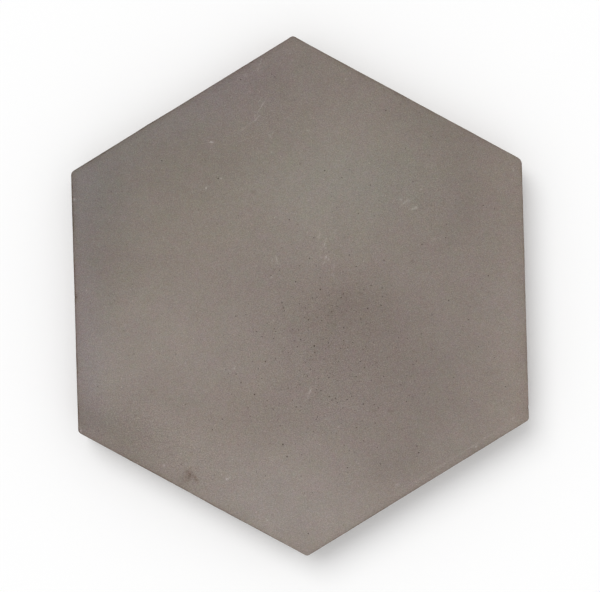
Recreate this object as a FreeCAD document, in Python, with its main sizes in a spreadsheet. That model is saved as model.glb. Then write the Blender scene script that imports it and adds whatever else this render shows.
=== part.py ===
import FreeCAD, Part
import math
import os
import Sketcher

# Hexagonal floor tile, pressed from cement mortar in one piece.
#
# It lies flat with its wearing face up. Two corners point along Y and two flat sides face
# along X. The origin is on the bedding plane, under the middle of the face. Lengths are in
# millimetres and angles in degrees.
#
# The sides lean in towards the back, so that laid tiles meet at their faces and leave room
# for grout below. The press sinks a shallow panel into the back, which keys into the bed.

TILE = "hexagon_tile"

DRIVING_SIZES = [
    ("across_flats", 200.0, "wearing face, from one flat side to the opposite one"),
    ("thickness", 16.0, "from the bedding plane to the wearing face"),
    ("side_draft", 2.0, "angle at which the sides lean in towards the back"),
    ("corner_radius", 2.0, "rounding of the six upright corners"),
    ("arris_radius", 0.7, "easing of the edge round the wearing face"),
    ("rim_width", 16.0, "flat rim of the back, between its outline and the sunk panel"),
    ("panel_depth", 1.0, "depth of the sunk panel"),
    ("panel_draft", 40.0, "angle at which the panel's walls lean in towards its floor"),
    ("panel_corner_radius", 6.0, "rounding of the panel's six corners"),
    ("panel_floor_radius", 0.5, "rounding between the panel's walls and its floor"),
]

WORKED_OUT_SIZES = [
    (
        "back_across_flats",
        "=across_flats - 2 * thickness * tan(side_draft * 1deg)",
        "outline of the back, between flat sides",
    ),
    (
        "panel_across_flats",
        "=back_across_flats - 2 * rim_width",
        "mouth of the sunk panel, between flat sides",
    ),
]

BACK_LEVEL = 0
LEVEL_TOLERANCE = 0.001
CORNERS = 6

# How a sketch numbers the points of a line or circle, and names its own origin.
START, END, CENTRE = range(1, 4)
ROOT_POINT = (-1, START)


def make_sheet(doc):
    """Fills the spreadsheet that every feature takes its sizes from."""
    sheet = doc.addObject("Spreadsheet::Sheet", "sizes")
    rows = [(name, str(value), note) for name, value, note in DRIVING_SIZES]
    rows += WORKED_OUT_SIZES
    for row, (name, content, note) in enumerate(rows, start=1):
        sheet.set(f"A{row}", name)
        sheet.set(f"B{row}", content)
        sheet.set(f"C{row}", note)
        sheet.setAlias(f"B{row}", name)
    doc.recompute()
    return sheet


def names_between(kind, shape, lowest, highest):
    """Names the faces or edges of a shape that reach from the lowest level to the highest."""
    return [
        f"{kind}{number}"
        for number, part in enumerate(getattr(shape, f"{kind}s"), start=1)
        if abs(part.BoundBox.ZMin - lowest) < LEVEL_TOLERANCE
        and abs(part.BoundBox.ZMax - highest) < LEVEL_TOLERANCE
    ]


def add_hexagon_sketch(body, sheet, name, across_flats, height=None):
    """Draws a regular hexagon about the origin, with corners on Y and flat sides facing X.

    across_flats and height are names in the sheet. Without a height it lies on the back.
    """
    base_plane = next(f for f in body.Origin.OriginFeatures if f.Role == "XY_Plane")
    sketch = body.newObject("Sketcher::SketchObject", name)
    sketch.AttachmentSupport = (base_plane, [""])
    sketch.MapMode = "FlatFace"
    if height:
        sketch.setExpression("AttachmentOffset.Base.z", f"sizes.{height}")

    centre = FreeCAD.Vector(0, 0, 0)
    upwards = FreeCAD.Vector(0, 0, 1)
    width = getattr(sheet, across_flats)
    first_corner = FreeCAD.Vector(0, width / math.sqrt(3), 0)
    corners = [
        FreeCAD.Rotation(upwards, index * 360 / CORNERS).multVec(first_corner)
        for index in range(CORNERS)
    ]
    sides = [
        sketch.addGeometry(Part.LineSegment(corner, corners[(index + 1) % CORNERS]), False)
        for index, corner in enumerate(corners)
    ]
    circle = sketch.addGeometry(Part.Circle(centre, upwards, first_corner.Length), True)

    def constrain(kind, *what):
        return sketch.addConstraint(Sketcher.Constraint(kind, *what))

    for side, following in zip(sides, sides[1:] + sides[:1]):
        constrain("Coincident", side, END, following, START)
        constrain("PointOnObject", side, START, circle)
    for side in sides[1:]:
        constrain("Equal", sides[0], side)
    constrain("Coincident", circle, CENTRE, *ROOT_POINT)
    left_side, right_side = sides[1], sides[1 + CORNERS // 2]
    constrain("Vertical", left_side)
    across = constrain("DistanceX", left_side, START, right_side, START, width)
    sketch.renameConstraint(across, "across_flats")
    sketch.setExpression("Constraints.across_flats", f"sizes.{across_flats}")
    body.Document.recompute()
    return sketch


def add_draft(body, name, base, angle, kept_level, far_level):
    """Leans the upright faces between two levels inwards, away from the level that is kept."""
    kept_outline = names_between("Face", base.Shape, kept_level, kept_level)
    lowest, highest = sorted((kept_level, far_level))
    draft = body.newObject("PartDesign::Draft", name)
    draft.Base = (base, names_between("Face", base.Shape, lowest, highest))
    draft.NeutralPlane = (base, kept_outline)
    draft.Reversed = True
    draft.setExpression("Angle", f"sizes.{angle}")
    body.Document.recompute()
    return draft


def add_rounding(body, name, base, radius, lowest, highest):
    """Rounds the edges that reach from the lowest level to the highest."""
    rounding = body.newObject("PartDesign::Fillet", name)
    rounding.Base = (base, names_between("Edge", base.Shape, lowest, highest))
    rounding.setExpression("Radius", f"sizes.{radius}")
    body.Document.recompute()
    return rounding


def add_slab(body, sheet):
    """The slab, down from the outline of its wearing face, with its sides, corners and arris."""
    outline = add_hexagon_sketch(body, sheet, "face_outline", "across_flats", "thickness")
    slab = body.newObject("PartDesign::Pad", "slab")
    slab.Profile = outline
    slab.Reversed = True
    slab.setExpression("Length", "sizes.thickness")
    body.Document.recompute()

    face_level = sheet.thickness
    sides = add_draft(body, "sides", slab, "side_draft", face_level, BACK_LEVEL)
    corners = add_rounding(
        body, "upright_corners", sides, "corner_radius", BACK_LEVEL, face_level
    )
    return add_rounding(body, "arris", corners, "arris_radius", face_level, face_level)


def add_panel(body, sheet):
    """The shallow panel, sunk into the back, with its walls, corners and floor edge."""
    mouth = add_hexagon_sketch(body, sheet, "panel_mouth", "panel_across_flats")
    panel = body.newObject("PartDesign::Pocket", "sunk_panel")
    panel.Profile = mouth
    panel.Reversed = True
    panel.setExpression("Length", "sizes.panel_depth")
    body.Document.recompute()

    floor_level = sheet.panel_depth
    walls = add_draft(body, "panel_walls", panel, "panel_draft", BACK_LEVEL, floor_level)
    corners = add_rounding(
        body, "panel_corners", walls, "panel_corner_radius", BACK_LEVEL, floor_level
    )
    return add_rounding(
        body, "panel_floor_edge", corners, "panel_floor_radius", floor_level, floor_level
    )


def make_tile(doc, sheet):
    """Builds the tile as one body."""
    body = doc.addObject("PartDesign::Body", TILE)
    body.Label = TILE
    slab = add_slab(body, sheet)
    panel = add_panel(body, sheet)
    if not panel.Shape.Volume < slab.Shape.Volume:
        raise RuntimeError("the sunk panel took nothing out of the back")
    return body


def check(doc, body):
    """Stops if a feature has failed or the tile isn't one sound solid."""
    for item in doc.Objects:
        if "Invalid" in item.State or "Error" in item.State:
            raise RuntimeError(f"{item.Name} has failed: {item.State}")
    shape = body.Shape
    if shape.isNull() or not shape.isValid() or len(shape.Solids) != 1:
        raise RuntimeError(f"{body.Label} isn't one valid solid")


def main():
    doc = FreeCAD.newDocument(TILE)
    sheet = make_sheet(doc)
    tile = make_tile(doc, sheet)
    doc.recompute()
    check(doc, tile)
    os.makedirs("parts", exist_ok=True)
    tile.Shape.exportStep(f"parts/{tile.Label}.step")
    size = tile.Shape.optimalBoundingBox()
    print(f"{tile.Label}: {size.XLength:.2f} x {size.YLength:.2f} x {size.ZLength:.2f} mm")
    print(f"volume {tile.Shape.Volume / 1000:.1f} cm3, {len(tile.Shape.Faces)} faces")


main()
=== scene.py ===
import math
import random

import bpy
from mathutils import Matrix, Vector, geometry, kdtree, noise


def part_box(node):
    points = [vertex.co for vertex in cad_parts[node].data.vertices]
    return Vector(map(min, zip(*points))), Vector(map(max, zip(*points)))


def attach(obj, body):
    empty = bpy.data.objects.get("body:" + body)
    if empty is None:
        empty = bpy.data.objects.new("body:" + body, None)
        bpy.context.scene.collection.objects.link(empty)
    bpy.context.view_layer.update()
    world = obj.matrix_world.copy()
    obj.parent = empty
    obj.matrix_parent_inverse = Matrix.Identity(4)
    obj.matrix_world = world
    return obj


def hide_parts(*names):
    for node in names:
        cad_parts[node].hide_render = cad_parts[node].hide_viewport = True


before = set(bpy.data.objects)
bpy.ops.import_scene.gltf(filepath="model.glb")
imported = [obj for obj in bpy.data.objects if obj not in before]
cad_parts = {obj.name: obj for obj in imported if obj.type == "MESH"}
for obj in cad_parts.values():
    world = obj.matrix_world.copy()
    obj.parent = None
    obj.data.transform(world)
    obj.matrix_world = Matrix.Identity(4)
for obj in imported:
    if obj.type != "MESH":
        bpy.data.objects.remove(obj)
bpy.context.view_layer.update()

# Hexagonal floor tile, pressed from cement mortar in one piece. It lies on its back, and the
# camera looks straight down on its smooth, softly clouded face.
#
# The frame is in metres. The tile's surface and its material are worked out in millimetres,
# and colours are written in display levels from 0 to 255, as a picture has them.

CAD_NODE = "hexagon_tile"
PIECE = "tile_body"
BODY = "root"
MM = 0.001
FULL_TURN = 360

# The form, as the solid has it. A corner points along +Y, and a flat side faces +X.
SIDES = 6
CORNER_ANGLE = FULL_TURN / SIDES
SIDE_DRAFT = math.radians(2.0)
ARRIS_RADIUS = 0.7
RIM_WIDTH = 16.0
PANEL_DEPTH = 1.0
PANEL_DRAFT = math.radians(40.0)
PANEL_CORNER_RADIUS = 6.0

# The rounded arris takes a little off the corner between the face's plane and a side's.
ARRIS_LOSS = ARRIS_RADIUS * (1 / math.cos(SIDE_DRAFT) + math.tan(SIDE_DRAFT) - 1)
TOP_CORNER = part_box(CAD_NODE)[1] / MM
THICKNESS = TOP_CORNER.z
APOTHEM = TOP_CORNER.x + ARRIS_LOSS
SIDE_LENGTH = 2 * APOTHEM * math.tan(math.pi / SIDES)
BACK_APOTHEM = APOTHEM - THICKNESS * math.tan(SIDE_DRAFT)
PANEL_APOTHEM = BACK_APOTHEM - RIM_WIDTH
PANEL_WALL = PANEL_DEPTH * math.tan(PANEL_DRAFT)

# Rounding of the upright corners, from the one at 30 degrees round from +X. The die's own is
# 2 mm, and wear has made them rounder.
CORNER_RADII = [3.7, 2.1, 2.8, 2.4, 2.2, 2.2]

# How fine the mesh is. Points of the grids and the sides are moved at random by up to a share
# of their step, and the margins are the strips at the edges that the grids leave free.
STEPS_A_SIDE = 200
STEPS_A_CORNER = 6
SIDE_STEP = 0.6
ARRIS_STEPS = 5
BACK_EDGE_STEPS = 2
FACE_STEP = 1.4
BACK_STEP = 1.7
PANEL_EDGE_STEP = 1.0
JITTER = 0.25
FACE_MARGIN = 1.6
BACK_MARGIN = 1.2
SHARP_ANGLE = math.radians(40)
TRIANGLE_HEIGHT = math.sqrt(0.75)
BACK_EDGE_RADIUS = 0.35

# Rings of points along the wall of the back's sunk panel, as depths inside its mouth, and how
# far its edges are eased, as a share of the wall's width.
PANEL_RINGS = [-0.45, -0.1, 0.2, 0.45, 0.7, 1.0, 1.45]
PANEL_EASE = 0.12

# Relief, always inwards from the ideal surface, as its greatest depth, the length of its waves
# and how many octaves they have.
FACE_UNEVENNESS = (0.06, 34, 2)
OUTLINE_WAVE = (0.40, 28, 3)
OUTLINE_RIPPLE = (0.10, 3.2, 2)
SIDE_GRAIN = (0.12, 1.3, 2)
BACK_UNEVENNESS = (0.12, 20, 2)
BACK_GRAIN = (0.10, 2.6, 3)

# Down a side the outline's waves change only so fast, for 1 along it, and a side's grain is
# weaker by this share at the face than at the back.
OUTLINE_STRETCH = 0.25
GRAIN_LOSS = 0.6

# How level a surface is, from 0 for upright to 1. Between the first two the relief of the
# sides gives way to that of the face or back, and below the last two points are shuffled.
LEVEL_FROM, LEVEL_TO = 0.3, 0.95
SHUFFLE_FROM, SHUFFLE_TO = 0.25, 0.1

# Pinholes of the face that show best, as x, y and radius.
PINHOLES = [
    (-9.4, -65.4, 0.42),
    (-21.3, -43.0, 0.36),
    (-7.5, -5.0, 0.25),
    (-11.7, -14.0, 0.24),
    (-1.0, -15.0, 0.25),
    (-0.3, -3.5, 0.25),
    (-3.0, -49.0, 0.29),
    (5.7, -22.3, 0.42),
    (5.9, -25.2, 0.28),
    (2.4, -35.5, 0.27),
    (11.8, -36.4, 0.31),
    (13.7, -7.4, 0.25),
    (18.8, -76.4, 0.30),
    (21.6, -45.0, 0.25),
    (22.8, -21.2, 0.25),
    (26.5, -11.0, 0.22),
    (36.0, -36.5, 0.30),
    (43.0, -19.7, 0.26),
    (-34.7, 53.0, 0.32),
    (15.4, 37.0, 0.21),
    (-90.5, -37.5, 0.26),
]

# Small pinholes are tried at random places and kept by chance, most in one field, given as
# x, y and two radii, and fewest far from it. They keep a gap between their middles.
PINHOLE_TRIES = 4600
PINHOLE_FIELD = (10.0, -26.0, 29.0, 36.0)
FEWEST_PINHOLES = 0.05
PINHOLE_GAP = 1.2

# The shape of a pinhole: rings of points, as shares of its radius and of its depth, a twist
# between them in degrees, its depth as a share of its radius, and the free room round it as a
# share of the face's step.
PINHOLE_STEPS = 8
PINHOLE_RINGS = [(1.0, 0.0), (0.6, 0.7)]
PINHOLE_TWIST = 20
PINHOLE_DEPTH = 1.1
PINHOLE_ROOM = 0.35

# Nicks of the arris that show from above, as side, place along it from its middle, and radius.
ARRIS_NICKS = [
    (0, -52.0, 1.3),
    (3, -2.0, 0.9),
    (3, 27.0, 0.7),
    (1, 44.0, 0.8),
    (2, -20.0, 0.7),
]

# How many nicks and voids there are at random. The power makes voids of the sides more common
# towards the back.
LOOSE_ARRIS_NICKS = 30
BACK_EDGE_NICKS = 70
SIDE_VOIDS = 150
SIDE_VOID_POWER = 1.4
BACK_VOIDS = 150

# Radii drawn at random, as the smallest, the most that is added, and the power that makes
# large ones rare.
PINHOLE_RADII = (0.17, 0.15, 2)
ARRIS_NICK_RADII = (0.35, 0.45, 2)
BACK_EDGE_NICK_RADII = (0.6, 1.1, 2)
SIDE_VOID_RADII = (0.7, 0.7, 3)
BACK_VOID_RADII = (0.8, 1.0, 3)

# Nicks and voids are bites of balls. A ball's middle lies outside the surface, and the ball
# needs room, both as shares of its radius. Its radius is uneven by a share, in waves so long.
BALL_SHARE = 0.35
BALL_CLEARANCE = 1.3
BALL_UNEVENNESS = 0.5
BALL_WAVE = 0.9
VOID_DEPTH = "void_depth"

SEED = 16


class Surface:
    """Points in millimetres, and the faces between them."""

    def __init__(self):
        self.points = []
        self.faces = []

    def add(self, points):
        """Adds points and returns their numbers."""
        first = len(self.points)
        self.points += points
        return list(range(first, len(self.points)))

    def join(self, inner, outer):
        """Joins two rings of as many points, the second further out or down than the first."""
        for here in range(len(inner)):
            after = (here + 1) % len(inner)
            self.faces.append((inner[here], outer[here], outer[after], inner[after]))

    def fill(self, rim, inner_points, upwards):
        """Fills a ring with triangles that take in the inner points, each at its own level."""
        numbers = rim + self.add(inner_points)
        flat = [self.points[number].xy for number in numbers]
        rim_edges = [(here, (here + 1) % len(rim)) for here in range(len(rim))]
        inside_only, tolerance = 1, 1e-5
        filled = geometry.delaunay_2d_cdt(flat, rim_edges, [], inside_only, tolerance)
        triangles, sources = filled[2], filled[3]
        for triangle in triangles:
            corners = [numbers[sources[corner][0]] for corner in triangle]
            self.faces.append(corners if upwards else corners[::-1])


def direction(degrees):
    """The level direction at so many degrees round from +X."""
    turn = math.radians(degrees)
    return Vector((math.cos(turn), math.sin(turn)))


def drawn_radius(radii, random_source):
    """A radius at random, seldom a large one."""
    smallest, added, power = radii
    return smallest + added * random_source.random() ** power


def tree_of(places):
    """A tree that finds which of the places are near."""
    tree = kdtree.KDTree(len(places))
    for number, place in enumerate(places):
        tree.insert(place, number)
    tree.balance()
    return tree


def smooth(value, low, high):
    """Rises smoothly from 0 at low to 1 at high."""
    share = min(max((value - low) / (high - low), 0), 1)
    return share * share * (3 - 2 * share)


def wave(place, length, octaves=1):
    """Smooth noise from 0 to 1, with waves about so many millimetres long."""
    weakening, refining = 1.0, 2.0
    value = noise.fractal(place / length, weakening, refining, octaves)
    return min(max(0.5 + 0.5 * value, 0), 1)


def ring(apothem, radii, level, per_side=STEPS_A_SIDE, per_corner=STEPS_A_CORNER):
    """Points round a hexagon with rounded corners, counter-clockwise seen from above."""
    arcs = []
    for corner, radius in enumerate(radii):
        heading = CORNER_ANGLE * (corner + 0.5)
        centre = direction(heading) * (apothem - radius) / math.cos(math.pi / SIDES)
        turns = [heading + CORNER_ANGLE * (step / per_corner - 0.5) for step in range(per_corner + 1)]
        arcs.append([centre + direction(turn) * radius for turn in turns])
    points = []
    for arc, following in zip(arcs, arcs[1:] + arcs[:1]):
        points += arc
        points += [arc[-1].lerp(following[0], step / per_side) for step in range(1, per_side)]
    return [Vector((point.x, point.y, level)) for point in points]


def towards_side(place):
    """A place, turned about the middle so that the side it lies nearest to faces +X."""
    heading = math.degrees(math.atan2(place.y, place.x))
    turned = direction(heading - CORNER_ANGLE * round(heading / CORNER_ANGLE))
    return turned * math.hypot(place.x, place.y)


def depth_inside(place, apothem, radius):
    """How far a place lies inside the outline of a rounded hexagon."""
    place = towards_side(place)
    past_side = place.x - (apothem - radius)
    if past_side <= 0:
        return radius - past_side
    past_corner = abs(place.y) - (apothem - radius) * math.tan(math.pi / SIDES)
    return radius - math.hypot(past_side, max(past_corner, 0))


def grid(apothem, step, random_source):
    """Points over a hexagon in rows of triangles, each moved a little at random."""
    row_gap = step * TRIANGLE_HEIGHT
    rows = math.ceil(apothem / math.cos(math.pi / SIDES) / row_gap)
    columns = math.ceil(apothem / step) + 1
    jitter = JITTER * step
    points = []
    for row in range(-rows, rows + 1):
        for column in range(-columns, columns + 1):
            x = (column + 0.5 * (row % 2)) * step + random_source.uniform(-jitter, jitter)
            y = row * row_gap + random_source.uniform(-jitter, jitter)
            point = Vector((x, y, 0))
            if towards_side(point).x < apothem:
                points.append(point)
    return points


def lean(level):
    """How far the sides have come in from the face's outline at a level."""
    return (THICKNESS - level) * math.tan(SIDE_DRAFT)


def arris_rings():
    """Rings from the edge of the flat face over the arris, each as inset and level."""
    middle_inset = lean(THICKNESS - ARRIS_RADIUS) + ARRIS_RADIUS / math.cos(SIDE_DRAFT)
    rings = [(FACE_MARGIN, THICKNESS)]
    for step in range(ARRIS_STEPS + 1):
        turn = math.pi / 2 - (math.pi / 2 + SIDE_DRAFT) * step / ARRIS_STEPS
        inset = middle_inset - ARRIS_RADIUS * math.cos(turn)
        rings.append((inset, THICKNESS - ARRIS_RADIUS * (1 - math.sin(turn))))
    return rings


def side_rings(top, bottom):
    """Rings down the side, between two levels and without them, each as inset and level."""
    steps = round((top - bottom) / SIDE_STEP)
    levels = [top + (bottom - top) * step / steps for step in range(1, steps)]
    return [(lean(level), level) for level in levels]


def back_edge_rings():
    """Rings round the edge of the back and on to its flat rim, each as inset and level."""
    middle_inset = lean(BACK_EDGE_RADIUS) + BACK_EDGE_RADIUS / math.cos(SIDE_DRAFT)
    rings = []
    for step in range(BACK_EDGE_STEPS + 1):
        turn = SIDE_DRAFT + (math.pi / 2 - SIDE_DRAFT) * step / BACK_EDGE_STEPS
        inset = middle_inset - BACK_EDGE_RADIUS * math.cos(turn)
        rings.append((inset, BACK_EDGE_RADIUS * (1 - math.sin(turn))))
    rings.append((lean(0) + BACK_MARGIN, 0.0))
    return rings


def outline_ring(inset, level):
    """A ring at a level, so far inside the outline of the face."""
    return ring(APOTHEM - inset, [radius + lean(level) - inset for radius in CORNER_RADII], level)


def pinholes(random_source):
    """The pinholes that show best, and many small ones that crowd together in one field."""
    holes = [(Vector((x, y)), radius) for x, y, radius in PINHOLES]
    middle_x, middle_y, spread_x, spread_y = PINHOLE_FIELD
    for _ in range(PINHOLE_TRIES):
        place = Vector((random_source.uniform(-APOTHEM, APOTHEM),
                        random_source.uniform(-SIDE_LENGTH, SIDE_LENGTH)))
        away = ((place.x - middle_x) / spread_x) ** 2 + ((place.y - middle_y) / spread_y) ** 2
        chance = FEWEST_PINHOLES + (1 - FEWEST_PINHOLES) * math.exp(-away)
        radius = drawn_radius(PINHOLE_RADII, random_source)
        kept = random_source.random() < chance
        inside = towards_side(place).x < APOTHEM - FACE_MARGIN - PINHOLE_GAP
        clear = all((place - other).length > PINHOLE_GAP for other, _ in holes)
        if kept and inside and clear:
            holes.append((place, radius))
    return holes


def pinhole_points(place, radius):
    """A small round pit: its rim, a ring lower down and its bottom."""
    depth = PINHOLE_DEPTH * radius
    points = []
    for share, depth_share in PINHOLE_RINGS:
        for step in range(PINHOLE_STEPS):
            turn = FULL_TURN / PINHOLE_STEPS * step + PINHOLE_TWIST * share
            at = place + direction(turn) * radius * share
            points.append(Vector((at.x, at.y, THICKNESS - depth_share * depth)))
    points.append(Vector((place.x, place.y, THICKNESS - depth)))
    return points


def face_points(random_source):
    """Points over the wearing face, with its pinholes."""
    holes = pinholes(random_source)
    tree = tree_of([place.to_3d() for place, _ in holes])
    points = []
    for point in grid(APOTHEM - FACE_MARGIN - 0.5 * FACE_STEP, FACE_STEP, random_source):
        _, number, distance = tree.find(point)
        if distance > holes[number][1] + PINHOLE_ROOM * FACE_STEP:
            points.append(Vector((point.x, point.y, THICKNESS)))
    for place, radius in holes:
        points += pinhole_points(place, radius)
    return points


def panel_level(depth):
    """The back's level, where depth is the distance inside the mouth of the sunk panel."""
    return PANEL_DEPTH * smooth(depth, -PANEL_EASE * PANEL_WALL, (1 + PANEL_EASE) * PANEL_WALL)


def back_points(random_source):
    """Points over the back, with rings along the wall of its sunk panel."""
    per_side = round(2 * PANEL_APOTHEM * math.tan(math.pi / SIDES) / PANEL_EDGE_STEP)
    points = []
    for depth in PANEL_RINGS:
        radii = [PANEL_CORNER_RADIUS - depth] * SIDES
        points += ring(PANEL_APOTHEM - depth, radii, panel_level(depth), per_side)
    first, last = PANEL_RINGS[0] - 0.5 * BACK_STEP, PANEL_RINGS[-1] + 0.5 * BACK_STEP
    for point in grid(BACK_APOTHEM - BACK_MARGIN - 0.5 * BACK_STEP, BACK_STEP, random_source):
        depth = depth_inside(point, PANEL_APOTHEM, PANEL_CORNER_RADIUS)
        if not first < depth < last:
            points.append(Vector((point.x, point.y, PANEL_DEPTH if depth > 0 else 0)))
    return points


def ideal_surface(random_source):
    """The tile's closed surface, before any of its unevenness."""
    surface = Surface()
    arris, back_edge = arris_rings(), back_edge_rings()
    side = side_rings(arris[-1][1], back_edge[0][1])
    rings = [surface.add(outline_ring(*placed)) for placed in arris + side + back_edge]
    for inner, outer in zip(rings, rings[1:]):
        surface.join(inner, outer)
    surface.fill(rings[0], face_points(random_source), upwards=True)
    surface.fill(rings[-1], back_points(random_source), upwards=False)
    return surface


def relief(share, kind, place):
    """How deep one kind of relief is at a place where that share of it shows."""
    deepest, length, octaves = kind
    return share * deepest * wave(place, length, octaves)


def sunk(place, normal):
    """How far the pressed surface lies inside the ideal one, at a place that faces normal.

    A place well inside the edges counts as level, also in a pinhole or on the panel's wall.
    """
    within = towards_side(place).x < BACK_APOTHEM - BACK_MARGIN
    upwards = math.copysign(1, place.z - THICKNESS / 2) if within else normal.z
    face = smooth(upwards, LEVEL_FROM, LEVEL_TO)
    back = smooth(-upwards, LEVEL_FROM, LEVEL_TO)
    side = 1 - face - back
    depth = 0.0
    if face:
        depth += relief(face, FACE_UNEVENNESS, place)
    if side:
        stretched = Vector((place.x, place.y, OUTLINE_STRETCH * place.z))
        coarseness = 1 - GRAIN_LOSS * place.z / THICKNESS
        depth += relief(side, OUTLINE_WAVE, stretched)
        depth += relief(side, OUTLINE_RIPPLE, place)
        depth += relief(side * coarseness, SIDE_GRAIN, place)
    if back:
        depth += relief(back, BACK_UNEVENNESS, place)
        depth += relief(back, BACK_GRAIN, place)
    return depth


def shuffled(place, normal, random_source):
    """A place, moved a little at random along the side that it lies on."""
    upright = smooth(abs(normal.z), SHUFFLE_FROM, SHUFFLE_TO)
    across = Vector((-normal.y, normal.x, 0)) * random_source.uniform(-1, 1)
    along = Vector((0, 0, 1)) * random_source.uniform(-1, 1)
    return place + (across + along) * upright * JITTER * SIDE_STEP


def by_side(side, along, level, radius):
    """A ball that a flat side cuts, so far along it from its middle, as centre and radius."""
    facing = direction(CORNER_ANGLE * side)
    place = facing * (APOTHEM - lean(level) + BALL_SHARE * radius) + facing.orthogonal() * along
    return Vector((place.x, place.y, level)), radius


def by_any_side(level, radius, random_source):
    """A ball that a flat side cuts at a level, where the side and the place along it are random."""
    along = random_source.uniform(-SIDE_LENGTH / 2, SIDE_LENGTH / 2)
    return by_side(random_source.randrange(SIDES), along, level, radius)


def side_bites(random_source):
    """Balls that nick the arris and the back edge, and leave voids in the sides."""
    found = [by_side(side, along, THICKNESS, radius) for side, along, radius in ARRIS_NICKS]
    for _ in range(LOOSE_ARRIS_NICKS):
        radius = drawn_radius(ARRIS_NICK_RADII, random_source)
        found.append(by_any_side(THICKNESS, radius, random_source))
    for _ in range(BACK_EDGE_NICKS):
        radius = drawn_radius(BACK_EDGE_NICK_RADII, random_source)
        found.append(by_any_side(0.0, radius, random_source))
    for _ in range(SIDE_VOIDS):
        radius = drawn_radius(SIDE_VOID_RADII, random_source)
        lowest = BALL_CLEARANCE * radius
        level = lowest + (THICKNESS - 2 * lowest) * random_source.random() ** SIDE_VOID_POWER
        found.append(by_any_side(level, radius, random_source))
    return found


def back_bites(random_source):
    """Balls that leave voids in the flat rim of the back and in the floor of its panel."""
    found = []
    for _ in range(BACK_VOIDS):
        radius = drawn_radius(BACK_VOID_RADII, random_source)
        reach = BACK_APOTHEM * math.sqrt(random_source.random())
        place = direction(random_source.uniform(0, FULL_TURN)) * reach
        depth = depth_inside(place, PANEL_APOTHEM, PANEL_CORNER_RADIUS)
        room = BALL_CLEARANCE * radius
        on_rim = room - RIM_WIDTH < depth < -room
        if on_rim or depth > PANEL_WALL + room:
            level = panel_level(depth) - BALL_SHARE * radius
            found.append((Vector((place.x, place.y, level)), radius))
    return found


def bitten(points, balls):
    """The points, pushed in to the surface of any ball that they lie in, and how far each was."""
    tree = tree_of([centre for centre, _ in balls])
    widest = BALL_CLEARANCE * max(radius for _, radius in balls)
    moved, pushes = [], []
    for start in points:
        point = start
        for centre, number, _ in tree.find_range(start, widest):
            away = point - centre
            swell = 1 - BALL_UNEVENNESS / 2 + BALL_UNEVENNESS * wave(start, BALL_WAVE)
            radius = balls[number][1] * swell
            if away.length < radius:
                point = centre + away.normalized() * radius
        moved.append(point)
        pushes.append((point - start).length)
    return moved, pushes


def make_mesh():
    """The tile's mesh, in metres."""
    random_source = random.Random(SEED)
    surface = ideal_surface(random_source)
    mesh = bpy.data.meshes.new(PIECE)
    mesh.from_pydata(surface.points, [], surface.faces)
    normals = [entry.vector.copy() for entry in mesh.vertex_normals]
    pressed = [
        shuffled(point, normal, random_source) - normal * sunk(point, normal)
        for point, normal in zip(surface.points, normals)
    ]
    moved, pushes = bitten(pressed, side_bites(random_source) + back_bites(random_source))
    for vertex, point in zip(mesh.vertices, moved):
        vertex.co = point * MM
    voids = mesh.attributes.new(VOID_DEPTH, "FLOAT", "POINT")
    voids.data.foreach_set("value", pushes)
    mesh.shade_smooth()
    mesh.set_sharp_from_angle(angle=SHARP_ANGLE)
    mesh.update()
    return mesh


# Colours, in display levels: the base, and what a share of 1 of each tint adds to it.
BASE_LEVELS = (129.5, 119.3, 111.7)
OLIVE_LEVELS = (-0.5, 1.0, -0.5)
COOL_LEVELS = (-1.0, 0.0, 1.0)
BROWN_LEVELS = (-24.0, -27.0, -30.0)

# Clouds of the face, as x, y, two radii, turn in degrees, and how many levels or how large a
# share of the tint they add.
TONE_CLOUDS = [
    (19, -11, 22, 17, -10, -9.0),
    (24, -34, 16, 14, 0, -2.5),
    (53, -32, 30, 20, -60, -6.0),
    (40, -68, 20, 12, 20, -3.0),
    (-72, 68, 62, 24, 30, -7.8),
    (-38, 62, 28, 14, 30, -4.5),
    (-16, 92, 24, 12, -10, -3.5),
    (-84, 34, 18, 28, 10, -6.0),
    (-84, 8, 14, 20, 0, -4.0),
    (2, 104, 30, 14, 0, -4.0),
    (54, 79, 30, 12, -30, -7.0),
    (72, 42, 17, 30, 0, -4.5),
    (-98, -54, 9, 9, 0, -4.0),
    (-82, -65, 26, 6, -30, -5.5),
    (-66, -56, 14, 6, -35, 2.0),
    (14, 45, 26, 29, 0, 6.5),
    (-54, -22, 40, 24, -10, 7.5),
    (-58, -14, 9, 8, 0, 2.0),
    (-14, -90, 54, 24, 0, 12.0),
    (-44, -66, 32, 16, -20, 5.5),
    (16, -108, 18, 12, 0, 7.0),
    (-22, -110, 16, 10, 0, 5.0),
    (-25, -98, 24, 6, -30, 3.0),
    (-86, -36, 18, 18, 0, 5.5),
    (92, -44, 16, 34, 0, 3.0),
    (96, -62, 12, 12, 0, 3.5),
    (-38, 20, 24, 20, 0, 2.0),
    (96, -14, 7, 44, 0, 4.2),
    (59, -76, 46, 7, 30, 3.0),
    (-97, -42, 8, 13, 0, -3.8),
]
OLIVE_CLOUDS = [
    (8, 56, 24, 18, 0, 1.1),
    (46, 56, 22, 22, 0, 1.4),
    (22, 30, 16, 16, 0, 0.9),
    (-34, 48, 40, 26, 0, 1.0),
    (-76, 10, 22, 36, 0, 0.5),
    (-25, 96, 22, 14, 30, -1.7),
    (-99, -12, 9, 50, 0, -1.6),
    (25, -35, 40, 40, 0, -0.6),
]
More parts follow.
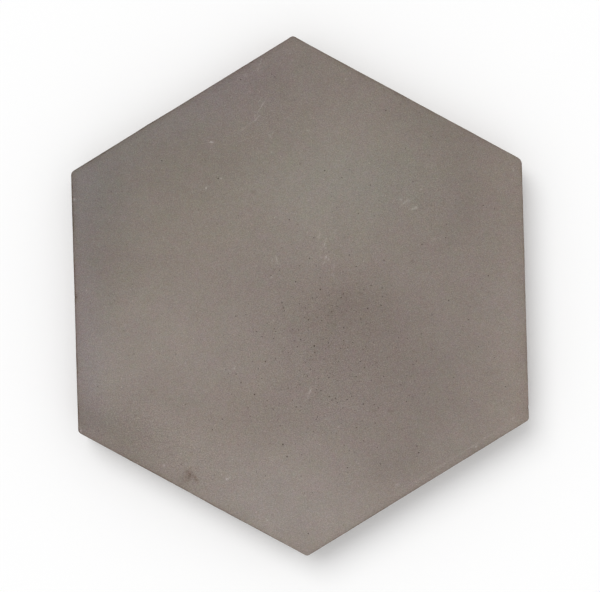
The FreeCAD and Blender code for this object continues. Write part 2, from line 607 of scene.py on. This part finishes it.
COOL_CLOUDS = [
    (-94, 52, 20, 27, 0, 2.9),
    (-46, 88, 46, 16, 30, 2.5),
    (24, 50, 34, 14, 0, 1.2),
    (-16, -94, 34, 16, 0, 0.9),
    (-97, -22, 13, 36, 0, 2.4),
    (-97, 16, 9, 38, 0, 0.9),
    (94, 44, 16, 34, 0, -0.7),
    (96, -45, 16, 26, 0, -1.1),
    (-50, 30, 24, 20, 0, -0.6),
    (-40, -58, 22, 14, 0, -0.6),
    (20, -6, 22, 18, 0, -0.5),
    (-22, -42, 16, 12, 0, -0.4),
]

# Where the grain is coarser, as x, y, two radii, turn and how much it adds.
COARSE_CLOUDS = [
    (-62, -62, 36, 14, -30, 0.45),
    (8, -34, 30, 38, 0, 0.25),
    (-16, 84, 16, 14, 0, 0.2),
    (52, 42, 22, 16, 0, 0.15),
]

# Small pale and dark marks of the face, as x, y, half length, half width, turn and levels.
MARKS = [
    (-14.9, 84.0, 3.4, 0.28, 58, 15.5),
    (-17.6, 81.0, 1.4, 0.28, 70, 6.5),
    (-16.9, 79.0, 2.0, 0.32, 46, 16.0),
    (-22.6, 74.8, 3.6, 0.55, 36, 5.5),
    (-15.6, 86.6, 1.5, 0.26, 52, 10.0),
    (-14.8, 103.0, 2.4, 0.35, 70, 11.0),
    (-16.2, 100.4, 1.0, 0.50, 70, 7.0),
    (-21.2, 98.4, 0.6, 0.50, 90, 14.0),
    (-19.7, 90.9, 0.5, 0.40, 0, 12.0),
    (-0.4, 104.2, 0.6, 0.40, 0, 15.0),
    (-1.5, 107.3, 0.5, 0.40, 0, 12.0),
    (22.8, 95.3, 0.5, 0.40, 0, 14.0),
    (-37.2, 69.0, 0.9, 0.42, 0, 27.0),
    (-33.4, 53.0, 0.5, 0.40, 0, 22.0),
    (-40.1, 48.8, 0.8, 0.38, 80, 24.0),
    (-98.6, 45.4, 0.6, 0.50, 90, 20.0),
    (-98.6, -56.6, 1.2, 0.60, 110, 20.0),
    (-11.2, 71.0, 1.3, 0.40, 125, 12.0),
    (-10.0, 72.4, 0.5, 0.45, 0, 12.0),
    (-10.8, 64.0, 0.7, 0.45, 140, 8.0),
    (-9.8, 16.5, 1.7, 0.34, 102, 16.0),
    (-11.8, 15.8, 1.4, 0.42, 95, 8.0),
    (45.8, 41.4, 0.9, 0.60, 60, 11.0),
    (48.6, 41.0, 0.7, 0.45, 60, 9.0),
    (47.4, 40.0, 1.9, 0.45, 38, 12.5),
    (49.6, 40.6, 0.6, 0.50, 0, 6.0),
    (51.0, 37.2, 1.1, 0.50, 20, 20.0),
    (52.5, 37.7, 0.6, 0.50, 50, 19.0),
    (55.0, 45.7, 0.5, 0.40, 30, 11.0),
    (11.5, 22.6, 1.2, 0.33, 75, 16.5),
    (12.2, 24.9, 0.9, 0.33, 62, 10.0),
    (9.3, 26.4, 1.7, 0.60, 82, 9.0),
    (16.4, 28.5, 1.3, 0.35, 58, 6.0),
    (10.0, 20.8, 0.9, 0.45, 50, 9.0),
    (12.0, 16.9, 0.6, 0.40, 60, 24.0),
    (11.2, 14.8, 1.6, 0.33, 72, 10.0),
    (9.7, 17.0, 0.9, 0.40, 120, 9.0),
    (13.3, 15.8, 0.9, 0.45, 115, 8.0),
    (14.8, 8.9, 0.9, 0.42, 118, 10.0),
    (15.4, 12.6, 1.2, 0.45, 80, 8.0),
    (-12.4, 8.8, 0.8, 0.50, 60, 12.0),
    (59.8, 23.5, 1.3, 1.00, 0, 6.0),
    (5.8, 73.0, 0.7, 0.50, 0, 9.5),
    (95.6, 53.4, 1.0, 0.60, 90, 8.0),
    (3.3, -42.0, 1.5, 0.45, 68, 16.0),
    (2.3, -44.2, 1.2, 0.50, 68, 9.0),
    (-29.9, -31.2, 0.6, 0.45, 90, 12.0),
    (-34.6, -80.0, 0.9, 0.40, 10, 19.0),
    (-33.3, -79.2, 0.6, 0.36, 40, 12.0),
    (-36.8, -77.8, 0.4, 0.40, 0, 6.0),
    (-62.2, -73.2, 0.5, 0.45, 0, 18.0),
    (-17.4, -98.6, 0.5, 0.45, 0, 12.0),
    (10.0, -54.7, 0.6, 0.40, 0, 11.0),
    (15.5, -58.2, 0.7, 0.40, 20, 10.0),
    (76.0, -68.6, 0.6, 0.45, 30, 17.0),
    (92.5, -56.6, 0.8, 0.40, 30, 11.0),
    (40.5, -84.6, 1.2, 0.60, 30, 8.0),
    # A long pale line just inside the lower-right arris: a painted highlight.
    (66.0, -73.3, 30.0, 0.50, 30, 5.5),
    (50.0, 14.0, 1.3, 0.60, 90, -9.0),
    (-19.4, 46.5, 0.8, 0.60, 0, -9.0),
    (13.6, -7.5, 1.2, 0.55, 25, -5.0),
    (26.6, -11.0, 1.1, 0.50, 90, -5.0),
    (20.3, -1.7, 1.1, 0.50, 110, -7.0),
    (14.6, -13.0, 0.9, 0.55, 0, -6.0),
    (12.7, -21.8, 1.9, 0.45, 45, -7.0),
    (5.8, -24.6, 1.5, 0.50, 90, -5.0),
    (2.5, -35.4, 0.9, 0.50, 60, -5.0),
    (-7.6, -5.0, 1.1, 0.55, 90, -4.5),
    (-4.5, -15.6, 0.9, 0.55, 120, -7.0),
    (-8.3, -24.2, 0.7, 0.50, 90, -7.0),
    (3.4, -28.7, 0.8, 0.55, 90, -7.0),
    (33.0, -30.6, 0.9, 0.55, 60, -8.0),
    (32.0, -51.6, 1.4, 0.55, 0, -6.0),
    (38.6, -51.8, 1.3, 0.60, 0, -10.0),
    (49.5, -26.0, 0.7, 0.55, 0, -9.0),
    (0.0, 31.6, 0.6, 0.50, 0, -12.0),
    (13.2, 52.0, 0.6, 0.50, 0, -12.0),
    (20.4, 25.4, 0.5, 0.50, 0, -8.0),
    (-11.2, 11.6, 1.2, 0.55, 60, -9.0),
    (-59.0, -68.2, 0.7, 0.55, 0, -7.0),
    (-78.3, -13.2, 0.6, 0.50, 0, -10.0),
    (-83.5, -1.0, 1.0, 0.60, 60, -5.0),
]

# Brown stains, as x, y, two radii, turn and how much of the brown they add.
STAINS = [
    (-51.5, -76.8, 1.9, 1.0, 132, 0.70),
    (-51.0, -77.7, 1.2, 0.8, 90, 0.42),
    (-51.9, -79.5, 1.5, 1.0, 0, 0.48),
    (-48.6, -79.0, 2.2, 0.7, 120, 0.75),
    (-50.5, -74.7, 1.0, 0.5, 35, 0.55),
    (-52.8, -79.4, 3.4, 2.0, 10, 0.22),
    (-53.0, -80.0, 6.0, 3.0, -25, 0.10),
    (-43.6, -83.8, 1.2, 0.8, -60, 0.16),
    (-43.5, -85.6, 2.4, 0.8, -70, 0.14),
    # These thin ones along the outline darken the arris line, partly as wear and partly as painted
    # shade.
    (-99.3, 2.4, 1.4, 0.8, 90, 1.1),
    (-99.4, 39.0, 6.0, 0.5, 90, 0.6),
    (-99.4, 14.0, 8.0, 0.5, 90, 0.35),
    (-99.4, -28.0, 5.0, 0.5, 90, 0.6),
    (-99.4, -56.6, 1.2, 0.6, 60, 0.7),
    (-20.0, 103.0, 7.0, 0.8, 30, 0.3),
    (30.6, 96.0, 2.6, 1.2, -30, 0.22),
    (47.0, 87.0, 3.0, 0.8, -30, 0.2),
]

# Layers of noise, as the size of a feature, the strength and how many finer octaves are added.
# Strengths are in levels, shares of a tint, roughness or millimetres of height.
FACE_MOTTLING = [(26, 0.9, 2), (7, 0.8, 2), (2.2, 0.7, 2)]
FACE_GRAIN = [(0.75, 2.4, 1), (0.4, 4.9, 0)]
FACE_OLIVE = [(8, 0.6, 2), (2, 0.55, 2)]
FACE_COOL = [(10, 0.2, 2), (1.1, 0.8, 2)]
FACE_SHEEN = [(24, 0.03, 2), (3, 0.03, 2), (0.8, 0.03, 2)]
FACE_RELIEF = [(5, 0.010, 2), (1.2, 0.006, 2), (0.6, 0.004, 2)]
BARE_MOTTLING = [(22, 2.0, 2), (5, 2.5, 2), (1.6, 3.0, 2), (0.5, 5.0, 1)]
BARE_RELIEF = [(2.5, 0.05, 2), (0.9, 0.05, 4), (0.35, 0.03, 1)]
MARK_BREAKS = (0.7, 0.4, 2)
STAIN_BREAKS = (0.9, 0.35, 2)
ARRIS_PATCHES = [(14, 0.3, 2), (2.5, 0.45, 2)]
ARRIS_WANDER = (2.5, 0.2, 2)

# How far a noise texture usually is from its middle.
TYPICAL_NOISE = 0.12

# Round specks and pores, as the gap between them, the largest radius, the share of places that
# have one, and levels. Those of the field are dark specks of painted shade that stand for tiny
# pinholes among the crowded ones, and the pores' levels are painted shade in them.
FACE_SPECKS = [
    (1.9, 0.40, 0.25, -12.0),
    (1.7, 0.38, 0.25, 14.0),
    (4.1, 0.55, 0.25, 13.0),
    (3.7, 0.60, 0.25, -10.0),
]
BARE_SPECKS = [(1.2, 0.45, 0.5, 14.0), (1.0, 0.36, 0.4, -12.0)]
FIELD_SPECKS, FIELD_SPECK_SHADE_LEVELS = (1.4, 0.34, 0.6), -30.0
PORES, PORE_SHADE_LEVELS = [(2.6, 0.62, 0.5), (1.6, 0.42, 0.5)], -34.0
PORE_HEIGHT = -0.10
SPECK_SOFTNESS = 0.3

# Noise that shifts a place, so that clouds and pores aren't plain ovals: its size and reach.
CLOUD_DRIFT_SIZE, CLOUD_DRIFT = 40, 13
PORE_DRIFT_SIZE, PORE_DRIFT = 0.6, 0.9

# Slopes, from 1 for level to 0 for upright, at which the face's finish starts to give way to
# bare mortar and has done so, and at which the brown of stains and of the arris, partly handling
# wear and partly painted shade, starts and is at its full.
BARE_SLOPES = (0.80, 0.35)
BROWN_SLOPES = (0.15, 0.6)

# How strong the face's marks are on the whole, and how much of the cool tint a level of them has.
MARK_STRENGTH = 1.3
MARK_COOLNESS = 0.06

# The brown of the arris, partly wear from handling and partly painted shade: its usual amount,
# the least, and how much it grows from the middle towards a heading in degrees, as painted shade
# on the side turned from the light. It is a line, that starts and is full at two insets, and a
# band that fades inwards.
ARRIS_BROWN = 0.95
LEAST_ARRIS_BROWN = 0.1
ARRIS_SHADE_GROWTH = 0.5
ARRIS_SHADE_HEADING = 152
ARRIS_LINE, ARRIS_LINE_INSETS = 1.1, (1.0, 0.25)
ARRIS_BAND, ARRIS_BAND_WIDTH = 0.45, 1.4

# Depths below the face between which painted shade darkens a pinhole, and the depths and
# insets between which that ends, so that only the face has it. Painted shade darkens voids by
# how far they were bitten.
PINHOLE_SHADE, PINHOLE_SHADE_LEVELS = (0.08, 0.30), -36.0
PINHOLE_DEPTHS = (2.0, 1.0)
PINHOLE_INSETS = (1.5, 2.0)
VOID_SHADE, VOID_SHADE_LEVELS = (0.05, 0.45), -18.0

# Finish.
FACE_ROUGHNESS = 0.60
BARE_ROUGHNESS = 0.92
SPECULAR_LEVEL = 0.3

# The curve that turns display levels into light.
TOP_LEVEL = 255
CURVE_OFFSET = 0.055
CURVE_POWER = 2.4


class Nodes:
    """Builds one material. Its methods add nodes and return outputs to link onwards."""

    def __init__(self, name):
        self.material = bpy.data.materials.new(name)
        self.material.use_nodes = True
        self.tree = self.material.node_tree
        self.shader = self.tree.nodes["Principled BSDF"]

    def feed(self, socket, value):
        """Links an output to a socket, or sets the socket to a plain value."""
        if isinstance(value, bpy.types.NodeSocket):
            self.tree.links.new(value, socket)
        else:
            socket.default_value = value

    def add(self, kind, inputs, output=0, **settings):
        """Adds a node, with its inputs by name or number."""
        made = self.tree.nodes.new("ShaderNode" + kind)
        for name, value in settings.items():
            setattr(made, name, value)
        for socket, value in inputs.items():
            self.feed(made.inputs[socket], value)
        return made.outputs[output]

    def math(self, operation, *values):
        return self.add("Math", dict(enumerate(values)), operation=operation)

    def vector_math(self, operation, *values):
        return self.add("VectorMath", dict(enumerate(values)), operation=operation)

    def dot(self, first, second):
        return self.add("VectorMath", {0: first, 1: second}, "Value", operation="DOT_PRODUCT")

    def rise(self, value, low, high):
        """Rises smoothly from 0 to 1 as value goes from low to high, which may be the lower."""
        inputs = {"Value": value, "From Min": low, "From Max": high}
        return self.add("MapRange", inputs, interpolation_type="SMOOTHSTEP", clamp=False)

    def noise(self, place, size, strength, detail):
        """Noise about 0, with features of about that size and that typical strength."""
        shade = self.add("TexNoise", {"Vector": place, "Scale": 1 / size, "Detail": detail})
        return self.math("MULTIPLY", self.math("SUBTRACT", shade, 0.5), strength / TYPICAL_NOISE)

    def layers(self, place, kinds):
        """The outputs of some layers of noise."""
        return [self.noise(place, *kind) for kind in kinds]

    def drift(self, place, size):
        """Three unlike noises from 0 to 1 as one vector, with features of about that size."""
        return self.add("TexNoise", {"Vector": place, "Scale": 1 / size, "Detail": 1.0}, "Color")

    def specks(self, place, gap, radius, share):
        """1 in round specks up to that radius, in that share of cells about so wide as gap."""
        inputs = {"Vector": place, "Scale": 1 / gap}
        distance = self.add("TexVoronoi", inputs, "Distance")
        lot = self.add("SeparateXYZ", {0: self.add("TexVoronoi", inputs, "Color")}, "X")
        largest = radius / gap
        reach = self.math("MULTIPLY_ADD", lot, largest / share, largest - largest / share)
        return self.rise(self.math("SUBTRACT", reach, distance), 0.0, SPECK_SOFTNESS * largest)

    def speckles(self, place, kinds):
        """The outputs of some kinds of specks, in levels."""
        return [
            self.product(self.specks(place, gap, radius, share), levels)
            for gap, radius, share, levels in kinds
        ]

    def spots(self, place, spots):
        """The sum of soft elliptical spots, each as x, y, two radii, turn and strength.

        place has 1 as its third part, so that one dot product turns, scales and shifts it.
        """
        total = 0.0
        for x, y, long_radius, short_radius, turn, strength in spots:
            away = 0.0
            for heading, radius in ((turn, long_radius), (turn + 90, short_radius)):
                axis = direction(heading) / radius
                along = self.dot(place, (axis.x, axis.y, -axis.dot(Vector((x, y)))))
                away = self.math("MULTIPLY_ADD", along, along, away)
            fade = self.math("POWER", 1 / math.e, away)
            total = self.math("MULTIPLY_ADD", fade, strength, total)
        return total

    def sum(self, *values):
        total = values[0]
        for value in values[1:]:
            total = self.math("ADD", total, value)
        return total

    def product(self, *values):
        total = values[0]
        for value in values[1:]:
            total = self.math("MULTIPLY", total, value)
        return total

    def blend(self, share, first, second):
        """Goes from first to second as share goes from 0 to 1."""
        inputs = {"Factor": share, "A": first, "B": second}
        return self.add("Mix", inputs, data_type="FLOAT")


def make_cement():
    """The tile's material: a smooth clouded face, and sides and back of bare pressed mortar."""
    n = Nodes("cement")
    coordinates = n.tree.nodes.new("ShaderNodeTexCoord").outputs
    place = n.add("VectorMath", {0: coordinates["Object"], "Scale": 1 / MM}, operation="SCALE")
    flat = n.vector_math("MULTIPLY_ADD", place, (1, 1, 0), (0, 0, 1))
    facing = n.add("SeparateXYZ", {0: coordinates["Normal"]}, "Z")
    below_face = n.math("SUBTRACT", THICKNESS, n.add("SeparateXYZ", {0: place}, "Z"))
    inset = inset_from_sides(n, flat)

    bare = n.rise(facing, *BARE_SLOPES)
    marks = n.product(n.spots(flat, MARKS), n.sum(MARK_STRENGTH, n.noise(place, *MARK_BREAKS)))
    tone = n.blend(bare, n.sum(face_tone(n, place, flat), marks), bare_tone(n, place))
    # Painted shade in the pinholes of the face.
    tone = n.sum(tone, n.product(painted_pinhole_shade(n, below_face, inset), PINHOLE_SHADE_LEVELS))
    levels = n.vector_math("ADD", BASE_LEVELS, tone)
    levels = tinted(n, levels, OLIVE_LEVELS, olive_share(n, place, flat))
    cool = n.sum(cool_share(n, place, flat), n.product(marks, MARK_COOLNESS))
    levels = tinted(n, levels, COOL_LEVELS, cool)
    # Brown of stains, and of the arris as wear and painted shade.
    levels = tinted(n, levels, BROWN_LEVELS, stain_wear_and_shade(n, place, flat, facing, inset))
    n.feed(n.shader.inputs["Base Color"], from_display(n, levels))

    roughness = n.sum(FACE_ROUGHNESS, *n.layers(place, FACE_SHEEN))
    n.feed(n.shader.inputs["Roughness"], n.blend(bare, roughness, BARE_ROUGHNESS))
    n.feed(n.shader.inputs["Specular IOR Level"], SPECULAR_LEVEL)
    height = n.blend(bare, n.sum(*n.layers(place, FACE_RELIEF)), bare_height(n, place))
    bump = n.add("Bump", {"Height": height, "Distance": MM})
    n.feed(n.shader.inputs["Normal"], bump)
    return n.material


def inset_from_sides(n, flat):
    """How far a place lies inside the face's outline."""
    out = 0.0
    for side in range(SIDES // 2):
        facing = direction(CORNER_ANGLE * side).to_3d()
        out = n.math("MAXIMUM", out, n.math("ABSOLUTE", n.dot(flat, facing)))
    return n.math("SUBTRACT", APOTHEM, out)


def stain_wear_and_shade(n, place, flat, facing, inset):
    """How brown the face is: where it is stained, and along its arris, partly from handling and
    partly as painted shade.
    """
    broken = n.sum(1.0, n.noise(place, *STAIN_BREAKS))
    stains = n.product(n.spots(flat, STAINS), broken)
    amount = n.sum(stains, arris_wear_and_shade(n, place, flat, inset))
    return n.product(amount, n.rise(facing, *BROWN_SLOPES))


def arris_wear_and_shade(n, place, flat, inset):
    """A thin brown line along the arris, and a soft band inside it, both in patches, partly wear and
    partly painted shade that is strongest towards the side turned from the light.
    """
    towards_shaded_side = n.dot(flat, direction(ARRIS_SHADE_HEADING).to_3d() / APOTHEM)
    patches = n.sum(*n.layers(place, ARRIS_PATCHES))
    amount = n.sum(ARRIS_BROWN, n.product(towards_shaded_side, ARRIS_SHADE_GROWTH), patches)
    amount = n.math("MAXIMUM", amount, LEAST_ARRIS_BROWN)
    line = n.rise(n.sum(inset, n.noise(place, *ARRIS_WANDER)), *ARRIS_LINE_INSETS)
    band = n.math("EXPONENT", n.product(inset, -1 / ARRIS_BAND_WIDTH))
    return n.product(amount, n.sum(n.product(line, ARRIS_LINE), n.product(band, ARRIS_BAND)))


def painted_pinhole_shade(n, below_face, inset):
    """1 inside the pinholes of the face, where painted shade darkens them."""
    sunk_in = n.rise(below_face, *PINHOLE_SHADE)
    near_face = n.rise(below_face, *PINHOLE_DEPTHS)
    return n.product(sunk_in, n.product(near_face, n.rise(inset, *PINHOLE_INSETS)))


def face_tone(n, place, flat):
    """Light and dark clouds, fine mottling and grain of the face, and painted shade for tiny pinholes
    in the field, in levels.
    """
    reach, middle = (2 * CLOUD_DRIFT, 2 * CLOUD_DRIFT, 0), (-CLOUD_DRIFT, -CLOUD_DRIFT, 0)
    shift = n.vector_math("MULTIPLY_ADD", n.drift(place, CLOUD_DRIFT_SIZE), reach, middle)
    clouds = n.spots(n.vector_math("ADD", flat, shift), TONE_CLOUDS)
    in_field = n.spots(flat, [(*PINHOLE_FIELD, 0, 1.0)])
    grain = n.sum(*n.layers(place, FACE_GRAIN), *n.speckles(place, FACE_SPECKS))
    return n.sum(
        clouds,
        *n.layers(place, FACE_MOTTLING),
        n.product(grain, n.sum(1.0, n.spots(flat, COARSE_CLOUDS))),
        # Painted shade of tiny pinholes in the field.
        n.product(n.specks(place, *FIELD_SPECKS), in_field, FIELD_SPECK_SHADE_LEVELS),
    )


def bare_tone(n, place):
    """Sandy grain and stains of the sides and back, and painted shade in their pores and voids, in
    levels.
    """
    void_depth = n.add("Attribute", {}, "Fac", attribute_name=VOID_DEPTH)
    return n.sum(
        *n.layers(place, BARE_MOTTLING),
        *n.speckles(place, BARE_SPECKS),
        # Painted shade in the pores and voids.
        n.product(pores(n, place), PORE_SHADE_LEVELS),
        n.product(n.rise(void_depth, *VOID_SHADE), VOID_SHADE_LEVELS),
    )


def pores(n, place):
    """1 in the small uneven pores of the sides and back."""
    moved = n.vector_math("MULTIPLY_ADD", n.drift(place, PORE_DRIFT_SIZE), (PORE_DRIFT,) * 3, place)
    return n.math("MAXIMUM", *[n.specks(moved, *kind) for kind in PORES])


def olive_share(n, place, flat):
    """How much of the olive tint there is."""
    return n.sum(n.spots(flat, OLIVE_CLOUDS), *n.layers(place, FACE_OLIVE))


def cool_share(n, place, flat):
    """How much of the cool tint there is, apart from that of the marks."""
    return n.sum(n.spots(flat, COOL_CLOUDS), *n.layers(place, FACE_COOL))


def tinted(n, levels, tint, share):
    """Adds a share of a tint to levels."""
    change = n.add("VectorMath", {0: tint, "Scale": share}, operation="SCALE")
    return n.vector_math("ADD", levels, change)


def from_display(n, levels):
    """Turns display levels into the light that a shader wants."""
    scale = 1 / (TOP_LEVEL * (1 + CURVE_OFFSET))
    offset = CURVE_OFFSET / (1 + CURVE_OFFSET)
    scaled = n.vector_math("MULTIPLY_ADD", levels, (scale,) * 3, (offset,) * 3)
    return n.add("Gamma", {"Color": scaled, "Gamma": CURVE_POWER})


def bare_height(n, place):
    """Sandy relief of the sides and back, in millimetres."""
    return n.sum(*n.layers(place, BARE_RELIEF), n.product(pores(n, place), PORE_HEIGHT))


# Light. The world and the sun together light a level surface at a strength of 1.
WORLD_STRENGTH = 0.7
SUN_SHARE = 1 - WORLD_STRENGTH
SUN_TILT = math.radians(38)
SUN_HEADING = 125
SUN_WIDTH = math.radians(40)

# The floor, in metres: how far it goes on each side and lies below the tile. Its grey is what
# lights the tile.
FLOOR_REACH = 30.0
FLOOR_GAP = 0.00005
FLOOR_GREY = 0.80

# The camera: the picture in pixels, the share of its height that the tile fills, the tile's
# turn in it, and the lens and sensor in millimetres.
PICTURE_WIDTH, PICTURE_HEIGHT = 600, 592
TILE_SHARE = 0.88
TILE_TURN = math.radians(1.6)
LENS = 85.0
SENSOR = 36.0


def seen_directly(tree):
    """An output that is 1 for rays from the camera, or by way of gloss or glass."""
    rays = tree.nodes.new("ShaderNodeLightPath").outputs
    total = rays["Is Camera Ray"]
    for name in ("Is Glossy Ray", "Is Transmission Ray"):
        maximum = tree.nodes.new("ShaderNodeMath")
        maximum.operation = "MAXIMUM"
        tree.links.new(total, maximum.inputs[0])
        tree.links.new(rays[name], maximum.inputs[1])
        total = maximum.outputs[0]
    return total


def white_where_seen(tree, plain):
    """A grey that is white where it is seen directly and plain where it only lights the tile."""
    grey = tree.nodes.new("ShaderNodeMix")
    grey.data_type = "FLOAT"
    tree.links.new(seen_directly(tree), grey.inputs["Factor"])
    grey.inputs["A"].default_value = plain
    grey.inputs["B"].default_value = 1.0
    return grey.outputs[0]


def make_world():
    """A plain soft light from all round."""
    world = bpy.data.worlds.new("studio")
    world.use_nodes = True
    tree = world.node_tree
    background = tree.nodes["Background"]
    background.inputs["Color"].default_value = (1, 1, 1, 1)
    tree.links.new(white_where_seen(tree, WORLD_STRENGTH), background.inputs["Strength"])
    bpy.context.scene.world = world


def make_sun():
    """A wide soft lamp from one side."""
    light = bpy.data.lights.new("sun", "SUN")
    light.energy = SUN_SHARE * math.pi / math.cos(SUN_TILT)
    light.angle = SUN_WIDTH
    sun = bpy.data.objects.new("sun", light)
    towards = direction(SUN_HEADING) * math.sin(SUN_TILT)
    place = Vector((towards.x, towards.y, math.cos(SUN_TILT)))
    sun.location = place
    sun.rotation_euler = place.to_track_quat("Z", "Y").to_euler()
    bpy.context.collection.objects.link(sun)


def make_floor():
    """A plain pale floor just under the tile."""
    signs = ((-1, -1), (1, -1), (1, 1), (-1, 1))
    corners = [(x * FLOOR_REACH, y * FLOOR_REACH, -FLOOR_GAP) for x, y in signs]
    mesh = bpy.data.meshes.new("floor")
    mesh.from_pydata(corners, [], [(0, 1, 2, 3)])
    material = bpy.data.materials.new("pale_floor")
    material.use_nodes = True
    tree = material.node_tree
    shader = tree.nodes["Principled BSDF"]
    tree.links.new(white_where_seen(tree, FLOOR_GREY), shader.inputs["Base Color"])
    shader.inputs["Roughness"].default_value = 1.0
    shader.inputs["Specular IOR Level"].default_value = 0.0
    mesh.materials.append(material)
    floor = bpy.data.objects.new("floor", mesh)
    bpy.context.collection.objects.link(floor)


def make_camera():
    """Looks straight down, turned so that the tile lies in the picture as it was photographed."""
    data = bpy.data.cameras.new("camera")
    data.lens = LENS
    data.sensor_width = SENSOR
    camera = bpy.data.objects.new("camera", data)
    tile_height = 2 * TOP_CORNER.y * MM
    picture_width = tile_height / TILE_SHARE * PICTURE_WIDTH / PICTURE_HEIGHT
    distance = picture_width * LENS / SENSOR
    camera.location = (0, 0, THICKNESS * MM + distance)
    camera.rotation_euler = (0, 0, -TILE_TURN)
    bpy.context.collection.objects.link(camera)
    bpy.context.scene.camera = camera


def make_tile():
    """The tile, in its material, in place of the solid."""
    mesh = make_mesh()
    mesh.materials.append(make_cement())
    tile = bpy.data.objects.new(PIECE, mesh)
    bpy.context.collection.objects.link(tile)
    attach(tile, BODY)
    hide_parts(CAD_NODE)


def main():
    bpy.context.scene.view_settings.view_transform = "Standard"
    make_camera()
    make_world()
    make_sun()
    make_floor()
    make_tile()


main()
